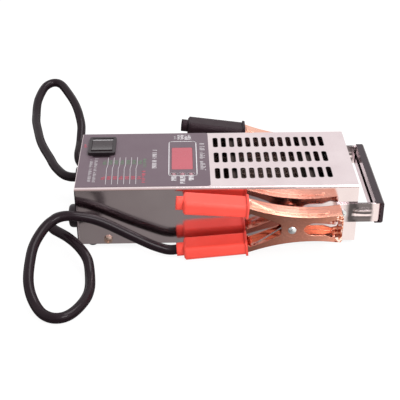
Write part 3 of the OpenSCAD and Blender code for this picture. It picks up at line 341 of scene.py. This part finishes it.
def strap_painted_reflections():
    """Strap steel with painted reflections: dark and bright patches along its arms, and
    painted highlights and dark lines across the pressed rib.
    """
    m, nt, bsdf = shader("strap_steel")
    x, _, z = axes(nt)
    x = maths(nt, "ADD", x, spread(nt, noise(nt, 150), -0.7 * MM, 0.7 * MM))
    z = maths(nt, "ADD", z, spread(nt, noise(nt, 110), -0.35 * MM, 0.35 * MM))
    tint = (1, 0.83, 0.85)
    # painted reflection along each arm: dark near its left end, dull in the middle and bright
    # towards the grip
    sheet = grey_ramp(nt, rising(nt, x, 104, 138), (
        (0.0, 0.85), (0.1, 0.7), (0.2, 0.10), (0.34, 0.07), (0.46, 0.18), (0.76, 0.18),
        (0.85, 0.85)), tint)
    # painted highlights and dark lines across the rib, from its foot to its head
    rib = grey_ramp(nt, rising(nt, z, 28, 39), (
        (0.0, 0.18), (0.1, 0.14), (0.27, 0.14), (0.34, 0.9), (0.5, 0.95), (0.56, 0.11),
        (0.70, 0.09), (0.76, 0.5), (0.84, 0.5), (0.92, 0.18)), tint)
    along = grey_ramp(nt, rising(nt, x, 113, 132), (
        (0.0, 0), (0.14, 1), (0.86, 1), (1.0, 0)))
    high = grey_ramp(nt, rising(nt, z, 27, 40), (
        (0.0, 0), (0.1, 1), (0.9, 1), (1.0, 0)))
    put(nt, bsdf.inputs["Base Color"], mix(nt, product(nt, along, high), sheet, rib))
    put(nt, bsdf.inputs["Roughness"], spread(nt, noise(nt, 180), 0.1, 0.2))
    grain = add_bump(nt, bsdf, noise(nt, 260, detail=2), 0.05, 0.04)
    soften(nt, grain, 0.5)
    put(nt, bsdf.inputs["Metallic"], 1.0)
    return m


def grip_moulding():
    """Dark moulded grip. The faces that look along -X are painted pale, glossy and partly
    metallic: a painted sheen for their grazing reflection.
    """
    m, nt, bsdf = shader("grip_plastic")
    drift = spread(nt, noise(nt, 45), 0, 1)
    dark = mix(nt, drift, (0.020, 0.010, 0.0145), (0.025, 0.014, 0.019))
    painted_sheen = spread(nt, axes(nt, "Normal")["X"], 1, 0, -0.9, -0.6)
    put(nt, bsdf.inputs["Base Color"], mix(nt, painted_sheen, dark, (0.50, 0.42, 0.46)))
    rough = spread(nt, noise(nt, 140), 0.22, 0.32)
    put(nt, bsdf.inputs["Roughness"], maths(nt, "SUBTRACT", rough, product(nt, painted_sheen, 0.1)))
    put(nt, bsdf.inputs["Metallic"], product(nt, painted_sheen, 0.75))
    add_bump(nt, bsdf, noise(nt, 1000, detail=2), 0.08, 0.05)
    put(nt, bsdf.inputs["Specular IOR Level"], 0.32)
    put(nt, bsdf.inputs["Specular Tint"], MAUVE)
    return m


def painted_crumple_light(nt):
    """Painted highlights and painted shade in small patches with hard borders, standing for
    crumpled faces.
    """
    node = nt.nodes.new("ShaderNodeValToRGB")
    ramp = node.color_ramp
    ramp.interpolation = "CONSTANT"
    ramp.elements[0].color = (0.30, 0.06, 0.03, 1)
    ramp.elements[1].position, ramp.elements[1].color = 0.44, (0.85, 0.36, 0.24, 1)
    ramp.elements.new(0.55).color = (1.0, 0.86, 0.78, 1)
    put(nt, node.inputs["Fac"], noise(nt, 420, detail=1.0))
    return node.outputs["Color"]


def copper_plating():
    """Bright copper over rolled steel, with fine pits in its bump. Its flanks and bite carry
    painted light.
    """
    m, nt, bsdf = shader("copper_plate")
    drift = spread(nt, noise(nt, 55), 0, 1)
    bright = mix(nt, drift, (0.90, 0.41, 0.285), (0.96, 0.52, 0.39))
    # painted shade: the flanks are darker than the webs and towards their top, with painted
    # glints in bright specks
    aside = maths(nt, "ABSOLUTE", axes(nt, "Normal")["Y"])
    flank = spread(nt, aside, 0, 1, 0.8, 0.95)
    painted_glints = grey_ramp(nt, noise(nt, 1300, detail=1.0), (
        (0.0, 0.72), (0.58, 0.80), (0.63, 1.0), (0.75, 1.0)), (1, 0.9, 0.87))
    x, _, z = axes(nt)
    grade = grey_ramp(nt, rising(nt, z, 18, 44), (
        (0.0, 1.0), (0.35, 0.95), (0.7, 0.72), (1.0, 0.62)), (1, 0.92, 0.93))
    shaded_flanks = mix(nt, flank, bright, painted_glints, "MULTIPLY")
    graded = mix(nt, flank, shaded_flanks, grade, "MULTIPLY")
    # painted highlights and painted shade in small patches on the flanks at the bite
    bite = product(nt, rising(nt, x, 95.0, 96.5), flank)
    put(nt, bsdf.inputs["Base Color"], mix(nt, bite, graded, painted_crumple_light(nt)))
    put(nt, bsdf.inputs["Roughness"], spread(nt, noise(nt, 60, detail=2), 0.10, 0.16))
    pits = spread(nt, noise(nt, 1700, detail=1.5, rough=0.6), 0, 1, 0.6, 0.75)
    soften(nt, add_bump(nt, bsdf, pits, 0.08, 0.05), 0.8)
    put(nt, bsdf.inputs["Metallic"], 1.0)
    return m


copper_plate = copper_plating()
steel = cover_steel()
grip_plastic = grip_moulding()

BY_SLOT = {
    "polished_steel": steel, "black_paint": black_paint, "grey_film": film,
    "red_window": window, "dark_plastic": dark_plastic, "board": board_green,
    "brass_post": brass, "lamp": lamp, "black_plastic": black_plastic,
    "black_gloss": black_gloss, "resistance_alloy": alloy, "plain_steel": plain_steel,
    "ceramic": ceramic, "copper": copper, "copper_plate": copper_plate, "zinc": zinc,
    "cable_sheath": sheath, "grip_plastic": grip_plastic, "foot_rubber": rubber,
    "spring_wire": spring_steel, "red_sleeve": red_vinyl, "black_sleeve": black_vinyl,
}
for part in frame["record"]["subparts"]:
    node = nodes[part["node"]]
    node.data.materials.clear()
    node.data.materials.append(BY_SLOT[part["material_slot"]])
# these two look unlike the rest of their slot
nodes["handle_strap"].data.materials[0] = strap_painted_reflections()
nodes["cover_screws"].data.materials[0] = screw_zinc


def finish_piece(obj, material, body="tester"):
    obj.data.materials.append(material)
    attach(obj, body)
    return obj


def mesh_piece(name, bm, material, body="tester"):
    mesh = bpy.data.meshes.new(name)
    bm.normal_update()
    bm.to_mesh(mesh)
    bm.free()
    obj = bpy.data.objects.new(name, mesh)
    bpy.context.scene.collection.objects.link(obj)
    return finish_piece(obj, material, body)


def closed_prism(bm, outline, low, high):
    """A prism along Z over an outline that runs anticlockwise, in millimetres."""
    lower = [bm.verts.new((x * MM, y * MM, low * MM)) for x, y in outline]
    upper = [bm.verts.new((x * MM, y * MM, high * MM)) for x, y in outline]
    bm.faces.new(upper)
    bm.faces.new(lower[::-1])
    for i in range(len(outline)):
        j = (i + 1) % len(outline)
        bm.faces.new((lower[i], lower[j], upper[j], upper[i]))


# Cables: the routes of the part's source
CABLE_RADIUS = 4.5
# pivot of each clamp and the angle in degrees by which its jaws point upwards
RED_PLACE = (57.4, -68.9, 31.8, 0.2)
BLACK_PLACE = (62.1, 80.7, 27.3, -2.5)
# from the pivot to the start of the lower sleeve's cap, the cap's length and its slope
CAP_SLOPE, CAP_LENGTH = 0.0857, 6.4
CAP_X, CAP_Y, CAP_Z = -95.1, 0.8, -(19.6 + CAP_SLOPE * 55.5)


def cap_point(place, back):
    """A point on the axis of a clamp's cap, as far outside its end as back says."""
    pivot_x, pivot_y, pivot_z, degrees = place
    tilt, turn = math.radians(degrees), math.atan(CAP_SLOPE)
    x = CAP_X - (CAP_LENGTH + back) * math.cos(turn)
    z = CAP_Z - (CAP_LENGTH + back) * math.sin(turn)
    return (pivot_x + x * math.cos(tilt) - z * math.sin(tilt), pivot_y + CAP_Y,
            pivot_z + x * math.sin(tilt) + z * math.cos(tilt))


POSITIVE = [
    (GLAND_X, -GLAND_Y, GLAND_Z),
    (-144.8, -35.5, 23.5), (-148.6, -36.3, 23.5), (-153.1, -38.6, 23.4),
    (-156.2, -42.8, 23.2), (-157.3, -47.8, 22.9), (-156.4, -52.6, 22.6),
    (-153.6, -56.7, 22.2), (-147.7, -61.4, 21.5), (-140.4, -67.2, 20.4),
    (-132, -75.5, 18), (-124.6, -85.3, 14.5), (-121, -92.9, 11.2),
    (-118.8, -106.7, 6.2), (-118, -121, 4.7), (-119.4, -133.9, 4.7),
    (-123.8, -146, 4.7), (-129.5, -155.5, 4.7), (-135.4, -160.7, 4.7),
    (-142.2, -162.3, 4.7), (-148.9, -160.6, 5), (-155.2, -155.9, 6.1),
    (-161.3, -147.3, 9.2), (-165.8, -137.4, 14.2), (-167.8, -127, 19.8),
    (-167.8, -112.3, 25.9), (-166.5, -98.1, 30.8), (-162.7, -86.4, 34.9),
    (-156.6, -75.7, 38.9), (-150.3, -69.8, 41.1), (-143, -66.8, 42.3),
    (-133.1, -65.6, 41.7), (-118.6, -64.5, 38), (-105, -64.3, 31.8),
    (-86.5, -65.7, 21.8), (-66.1, -67.7, 11.5), (-54.9, -68.1, 7.1),
    cap_point(RED_PLACE, 5), cap_point(RED_PLACE, 0),
]
NEGATIVE = [
    (GLAND_X, GLAND_Y, GLAND_Z),
    (-144.8, 35.5, 23.5), (-148.7, 36.3, 23.6), (-153.9, 39.2, 23.9),
    (-159.4, 46.2, 24.3), (-165.6, 56.5, 25.3), (-170.6, 68.4, 26.6),
    (-178.8, 86.6, 28.6), (-183.9, 100.7, 30.1), (-188.5, 119, 32.1),
    (-192.5, 137.5, 34), (-193.7, 150.4, 35.9), (-194.4, 164, 39.2),
    (-193.8, 174.5, 42.3), (-190.7, 188.7, 46.2), (-187.7, 195.8, 48.2),
    (-183.6, 200, 49.4), (-179, 201.8, 49.9), (-174.1, 200.9, 49.6),
    (-169.7, 197, 48.6), (-164, 187.9, 46), (-155.9, 172.4, 41.7),
    (-150.9, 159.8, 38.3), (-147.4, 147.9, 34.2), (-144.9, 136.4, 28.7),
    (-144.7, 125.7, 23.3), (-145, 115.9, 18.3), (-145.3, 107, 16.7),
    (-145.7, 98.3, 14.8), (-144.7, 92.2, 11.5), (-141.7, 87.8, 8.9),
    (-137, 84.5, 7.2), (-129.4, 82.3, 5.9), (-117.4, 81.5, 5.1),
    (-96.4, 81.5, 4.7), (-74.4, 81.6, 4.7), (-58.4, 81.5, 5.9),
    cap_point(BLACK_PLACE, 5), cap_point(BLACK_PLACE, 0),
]


def smooth_length(curve, steps=12):
    """The length of a curve, measured along straight steps."""
    total, last = 0.0, None
    points = curve.splines[0].bezier_points
    for a, b in zip(points, list(points)[1:]):
        for i in range(steps + 1):
            t = i / steps
            s = 1 - t
            p = (s ** 3 * a.co + 3 * s * s * t * a.handle_right
                 + 3 * s * t * t * b.handle_left + t ** 3 * b.co)
            if last is not None:
                total += (p - last).length
            last = p
    return total


def add_cable(name, route):
    curve = bpy.data.curves.new(name, "CURVE")
    curve.dimensions = "3D"
    curve.bevel_depth = CABLE_RADIUS * MM
    curve.bevel_resolution = 8
    curve.resolution_u = 8
    curve.use_fill_caps = True
    spline = curve.splines.new("BEZIER")
    spline.bezier_points.add(len(route) - 1)
    stops = [Vector(at) * MM for at in route]
    # each handle lies along the line through the point's neighbours
    for i, (point, stop) in enumerate(zip(spline.bezier_points, stops)):
        before, after = stops[max(i - 1, 0)], stops[min(i + 1, len(stops) - 1)]
        along = (after - before).normalized()
        point.co = stop
        point.handle_left_type = point.handle_right_type = "FREE"
        point.handle_left = stop - along * (stop - before).length / 3
        point.handle_right = stop + along * (after - stop).length / 3
    cable = bpy.data.objects.new(name, curve)
    bpy.context.scene.collection.objects.link(cable)
    finish_piece(cable, sheath)
    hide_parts(name.replace("_cord", ""))
    round(smooth_length(curve), 3)


add_cable("cable_positive_cord", POSITIVE)
add_cable("cable_negative_cord", NEGATIVE)


# Printed marks on the label. Words are left out: plain bars stand where the print is.
def at_label(x, y):
    """From a place measured from the left end and the near wall to one in the part's frame."""
    return x + LEFT_X, y - WALL_Y


class Marks:
    """Flat shapes just above the label, gathered in one mesh."""
    LOW, HIGH = LABEL_Z + 0.02, LABEL_Z + 0.06

    def __init__(self):
        self.bm = bmesh.new()

    def stroke(self, points, wide):
        for (ax, ay), (bx, by) in zip(points, points[1:]):
            d = Vector((bx - ax, by - ay)).normalized()
            n = Vector((-d.y, d.x)) * wide / 2
            e = d * wide * 0.2
            closed_prism(self.bm, [
                (ax - e.x - n.x, ay - e.y - n.y), (bx + e.x - n.x, by + e.y - n.y),
                (bx + e.x + n.x, by + e.y + n.y), (ax - e.x + n.x, ay - e.y + n.y)],
                self.LOW, self.HIGH)


DIGITS = {
    "0": [[(0, 0), (1, 0), (1, 2), (0, 2), (0, 0)]],
    "1": [[(0.5, 0), (0.5, 2)]],
    "2": [[(0, 2), (1, 2), (1, 1), (0, 1), (0, 0), (1, 0)]],
    "3": [[(0, 2), (1, 2), (1, 0), (0, 0)], [(0.2, 1), (1, 1)]],
    "4": [[(0, 2), (0, 1), (1, 1)], [(1, 2), (1, 0)]],
    "5": [[(1, 2), (0, 2), (0, 1), (1, 1), (1, 0), (0, 0)]],
    "6": [[(1, 2), (0, 2), (0, 0), (1, 0), (1, 1), (0, 1)]],
    "7": [[(0, 2), (1, 2), (1, 0)]],
    "8": [[(0, 0), (1, 0), (1, 2), (0, 2), (0, 0)], [(0, 1), (1, 1)]],
    "9": [[(1, 0), (1, 2), (0, 2), (0, 1), (1, 1)]],
}


def number(marks, text, x, y, high, wide, step):
    """Reads along -Y with its top towards +X, centred on (x, y)."""
    digit_wide, last_gap = step * 0.62, step * 0.35
    start = y + (len(text) * step - last_gap) / 2
    for k, c in enumerate(text):
        for line in DIGITS[c]:
            marks.stroke([(x - high / 2 + v * high / 2, start - k * step - u * digit_wide)
                          for u, v in line], wide)


def bars(marks, x, y0, y1, high, pitch, wide, seed):
    """A row of plain upright bars in the room of a printed word, from y0 down to y1.
    By chance some are left out or short, some get a cross stroke, and gaps follow some."""
    rng = random.Random(seed)
    first, second = 0.2 * pitch, 0.62 * pitch
    foot = x - high / 2
    y = y0
    while y > y1:
        for off in (first, second):
            if off == first or rng.random() < 0.75:
                top = foot + high * (1 if rng.random() < 0.6 else 0.55)
                marks.stroke([(foot, y - off), (top, y - off)], wide)
        if rng.random() < 0.5:
            across = x + rng.choice((-0.5, 0, 0.5)) * high
            marks.stroke([(across, y - first), (across, y - second)], wide)
        y -= pitch * (1.9 if rng.random() < 0.12 else 1)


def rounded_loop(x0, x1, y0, y1, r, steps=6):
    """The closed outline of a rectangle whose corners have the radius r."""
    loop = []
    for cx, cy, a0 in ((x1 - r, y1 - r, 0), (x0 + r, y1 - r, 90), (x0 + r, y0 + r, 180),
                       (x1 - r, y0 + r, 270)):
        for i in range(steps + 1):
            a = math.radians(a0 + 90 * i / steps)
            loop.append((cx + r * math.cos(a), cy + r * math.sin(a)))
    return loop + loop[:1]


def ink(name, colour, vary=0.08):
    return surface(name, colour, 0.45, vary=vary, scale=300, bump=0.05)


white_ink_and_glint = ink("white_ink_and_glint", (0.72, 0.69, 0.71), 0.05)
grey_ink = ink("grey_ink", (0.50, 0.47, 0.49))
green_ink = ink("green_ink", (0.115, 0.185, 0.115))
red_ink = ink("red_ink", (0.46, 0.07, 0.105))


def label_marks():
    """Frame, rings, scales and rows of bars, in the measures that at_label takes."""
    white, grey, green, red = Marks(), Marks(), Marks(), Marks()

    def line(marks, points, wide):
        marks.stroke([at_label(*p) for p in points], wide)

    # frame round the window and the lamps, and a ring round each lamp
    line(white, rounded_loop(82.5, 108, 21.6, 87.8, 3), 0.75)
    for i in range(3):
        x = 86.95 + 7.75 * i
        line(grey, rounded_loop(x - 3, x + 3, 22.1, 28.1, 2.9), 0.35)
    # scale lines, each with a small step between its two columns, and their numbers
    for i in range(6):
        x = 26.3 + 5.38 * i
        line(grey, [(x, 8), (x - 0.4, 28), (x - 0.7, 36), (x + 0.2, 43), (x, 57.3)], 0.45)
    for i in range(7):
        x = 23.3 + 5.42 * i
        number(green, str(100 + 100 * i), *at_label(x, 48.2), high=2.4, wide=0.62, step=2.9)
        number(red, str(70 - 10 * i), *at_label(x, 19.3), high=2.4, wide=0.75, step=3.1)
    # rows of bars: ink, x, y of the far and of the near end, height, pitch, width and seed
    rows = (
        (green, 60.2, 54.5, 39, 2.6, 2.2, 0.6, 3),
        (red, 59.8, 31.4, 11.8, 2.6, 2.2, 0.7, 4),
        (red, 3.2, 84.5, 77.5, 2.2, 2.2, 0.6, 5),
        # small print by the near end
        (grey, 11, 54, 13, 2.6, 1.6, 0.32, 6),
        (grey, 15.4, 56, 13, 2.6, 1.6, 0.32, 7),
        # a word and the title
        (white, 69, 71.4, 36, 3.8, 2.6, 0.55, 8),
        (white, 113.6, 83.6, 31, 4.4, 3.0, 0.45, 9),
        # by the lamps
        (white, 87, 20.3, 12.5, 4.2, 2.6, 0.8, 10),
        (white, 94.8, 20.3, 9.5, 4.2, 2.6, 0.8, 11),
        (white, 102.6, 20.3, 14.5, 4.2, 2.6, 0.8, 12),
        # small print at the far end
        (grey, 88.4, 99, 93, 2.4, 2.2, 0.5, 20),
        (white, 91.9, 101.6, 91.5, 2.6, 1.8, 0.5, 21),
        (white, 95.4, 101.6, 91.5, 2.6, 1.8, 0.5, 22),
        (white, 98.8, 101.6, 91.5, 2.6, 1.8, 0.5, 23),
        (white, 102.1, 101.6, 91.5, 2.6, 1.8, 0.5, 24),
    )
    for marks, x, far, near, high, pitch, wide, seed in rows:
        bars(marks, x + LEFT_X, far - WALL_Y, near - WALL_Y, high, pitch, wide, seed)
    for name, marks, material in (("marks_white", white, white_ink_and_glint),
                                  ("marks_grey", grey, grey_ink),
                                  ("marks_green", green, green_ink),
                                  ("marks_red", red, red_ink)):
        mesh_piece(name, marks.bm, material)


label_marks()


def slot_corners():
    """Fills each corner of each slot up to the radius SLOT_RADIUS."""
    bm = bmesh.new()
    arc_x, arc_y = SLOT_WIDTH / 2 - SLOT_RADIUS, SLOT_LENGTH / 2 - SLOT_RADIUS
    # the fillings reach a little way into the sheet
    wall_x, wall_y = SLOT_WIDTH / 2 + 0.1, SLOT_LENGTH / 2 + 0.1
    corner = [(wall_x, arc_y), (wall_x, wall_y), (arc_x, wall_y)]
    for degrees in range(90, -1, -15):
        a = math.radians(degrees)
        corner.append((arc_x + SLOT_RADIUS * math.cos(a), arc_y + SLOT_RADIUS * math.sin(a)))
    for column in range(SLOT_COLUMNS):
        for row in range(SLOT_ROWS):
            x0 = SLOT_FIRST_X + column * SLOT_PITCH
            y0 = (row - (SLOT_ROWS - 1) / 2) * SLOT_ROW_PITCH + SLOT_MIDDLE_Y
            for sx, sy in ((1, 1), (-1, 1), (-1, -1), (1, -1)):
                outline = [(x0 + sx * x, y0 + sy * y) for x, y in corner[::sx * sy]]
                closed_prism(bm, outline, FACE_Z - 0.9, FACE_Z - 0.03)
    mesh_piece("slot_corners", bm, steel)


slot_corners()


def rocker_highlight():
    """A painted highlight: a pale line along the far edge of the rocker's top."""
    bm = bmesh.new()
    x0, x1, y0, y1 = -123.1, -103.6, 34.6, 35.5
    closed_prism(bm, [(x0, y0), (x1, y0), (x1, y1), (x0, y1)], 64.06, 64.2)
    mesh_piece("rocker_highlight", bm, white_ink_and_glint, "rocker")


rocker_highlight()


# Floor and light
def add_floor():
    bpy.ops.mesh.primitive_plane_add(size=6, location=(0, 0, -0.0001))
    floor = bpy.context.object
    floor.name = "floor"
    m = bpy.data.materials.new("floor")
    m.use_nodes = True
    nt = m.node_tree
    nt.nodes.clear()

    def diffuse(colour):
        node = nt.nodes.new("ShaderNodeBsdfDiffuse")
        put(nt, node.inputs["Color"], colour)
        return node.outputs[0]

    def glow(colour, strength):
        node = nt.nodes.new("ShaderNodeEmission")
        put(nt, node.inputs["Color"], colour)
        put(nt, node.inputs["Strength"], strength)
        return node.outputs[0]

    def either(way, yes, no):
        node = nt.nodes.new("ShaderNodeMixShader")
        for socket, value in zip(node.inputs, (ways.outputs[way], no, yes)):
            nt.links.new(value, socket)
        return node.outputs[0]

    ways = nt.nodes.new("ShaderNodeLightPath")
    # seen by the camera: mostly white of its own, so the object's shadow stays pale
    seen = nt.nodes.new("ShaderNodeAddShader")
    nt.links.new(glow((1, 1, 1), 0.92), seen.inputs[0])
    nt.links.new(diffuse((0.13, 0.127, 0.127)), seen.inputs[1])
    # seen in polished metal: a bench that is darker towards the cable end
    at = nt.nodes.new("ShaderNodeNewGeometry")
    split = nt.nodes.new("ShaderNodeSeparateXYZ")
    nt.links.new(at.outputs["Position"], split.inputs[0])
    shades = grey_ramp(nt, rising(nt, split.outputs["X"], -200, 200), (
        (0.0, 0.17), (0.15, 0.18), (0.25, 0.22), (0.56, 0.22), (0.62, 0.33), (0.71, 0.55),
        (0.77, 1.0)), (1, 0.965, 0.95))
    shades.node.color_ramp.elements[-1].color = (1.0, 0.995, 0.935, 1)
    mirrored = either("Is Glossy Ray", glow(shades, 1.14), diffuse((0.78, 0.77, 0.77)))
    out = nt.nodes.new("ShaderNodeOutputMaterial")
    nt.links.new(either("Is Camera Ray", seen.outputs[0], mirrored), out.inputs["Surface"])
    floor.data.materials.append(m)


def add_world():
    """White behind the object. Polished surfaces see the camera's side of the room dark."""
    world = bpy.data.worlds.new("world")
    bpy.context.scene.world = world
    world.use_nodes = True
    nt = world.node_tree
    back = nt.nodes["Background"]
    put(nt, back.inputs["Color"], (1, 1, 1))
    x, y, _ = axes(nt, "Generated")
    # by depth: the front low down is dark, a pale ceiling in front, white behind
    depth = grey_ramp(nt, spread(nt, y, 0, 1, -1, 1), (
        (0.0, 0.3), (0.035, 0.55), (0.07, 0.9), (0.5, 1.0)))
    # by side: the ceiling in front is brighter towards the handle
    side = spread(nt, x, 0.72, 1.35, -0.16, 0.2)
    in_front = spread(nt, y, 1, 0, -0.5, 0.1)
    room = product(nt, depth, mix(nt, in_front, 1.0, side, data_type="FLOAT"))
    ways = nt.nodes.new("ShaderNodeLightPath").outputs
    lit = mix(nt, ways["Is Glossy Ray"], 0.72, room, data_type="FLOAT")
    put(nt, back.inputs["Strength"],
        mix(nt, ways["Is Camera Ray"], lit, 1.0, data_type="FLOAT"))


def add_lamp(name, at, aim, size, watts):
    """A rectangular lamp whose middle looks from at towards aim."""
    data = bpy.data.lights.new(name, "AREA")
    data.shape = "RECTANGLE"
    data.size, data.size_y = size
    data.energy = watts
    lamp_object = bpy.data.objects.new(name, data)
    bpy.context.scene.collection.objects.link(lamp_object)
    lamp_object.location = at
    lamp_object.rotation_mode = "QUATERNION"
    lamp_object.rotation_quaternion = (Vector(aim) - Vector(at)).to_track_quat("-Z", "Y")


add_floor()
add_world()
add_lamp("lamp_high", (0.5, 0.2, 1.5), (0, 0, 0), (1.0, 0.8), 12)
add_lamp("lamp_front", (0.7, -1.1, 1.2), (0, 0, 0.03), (0.8, 0.6), 13)

bpy.context.scene.view_settings.view_transform = "Standard"
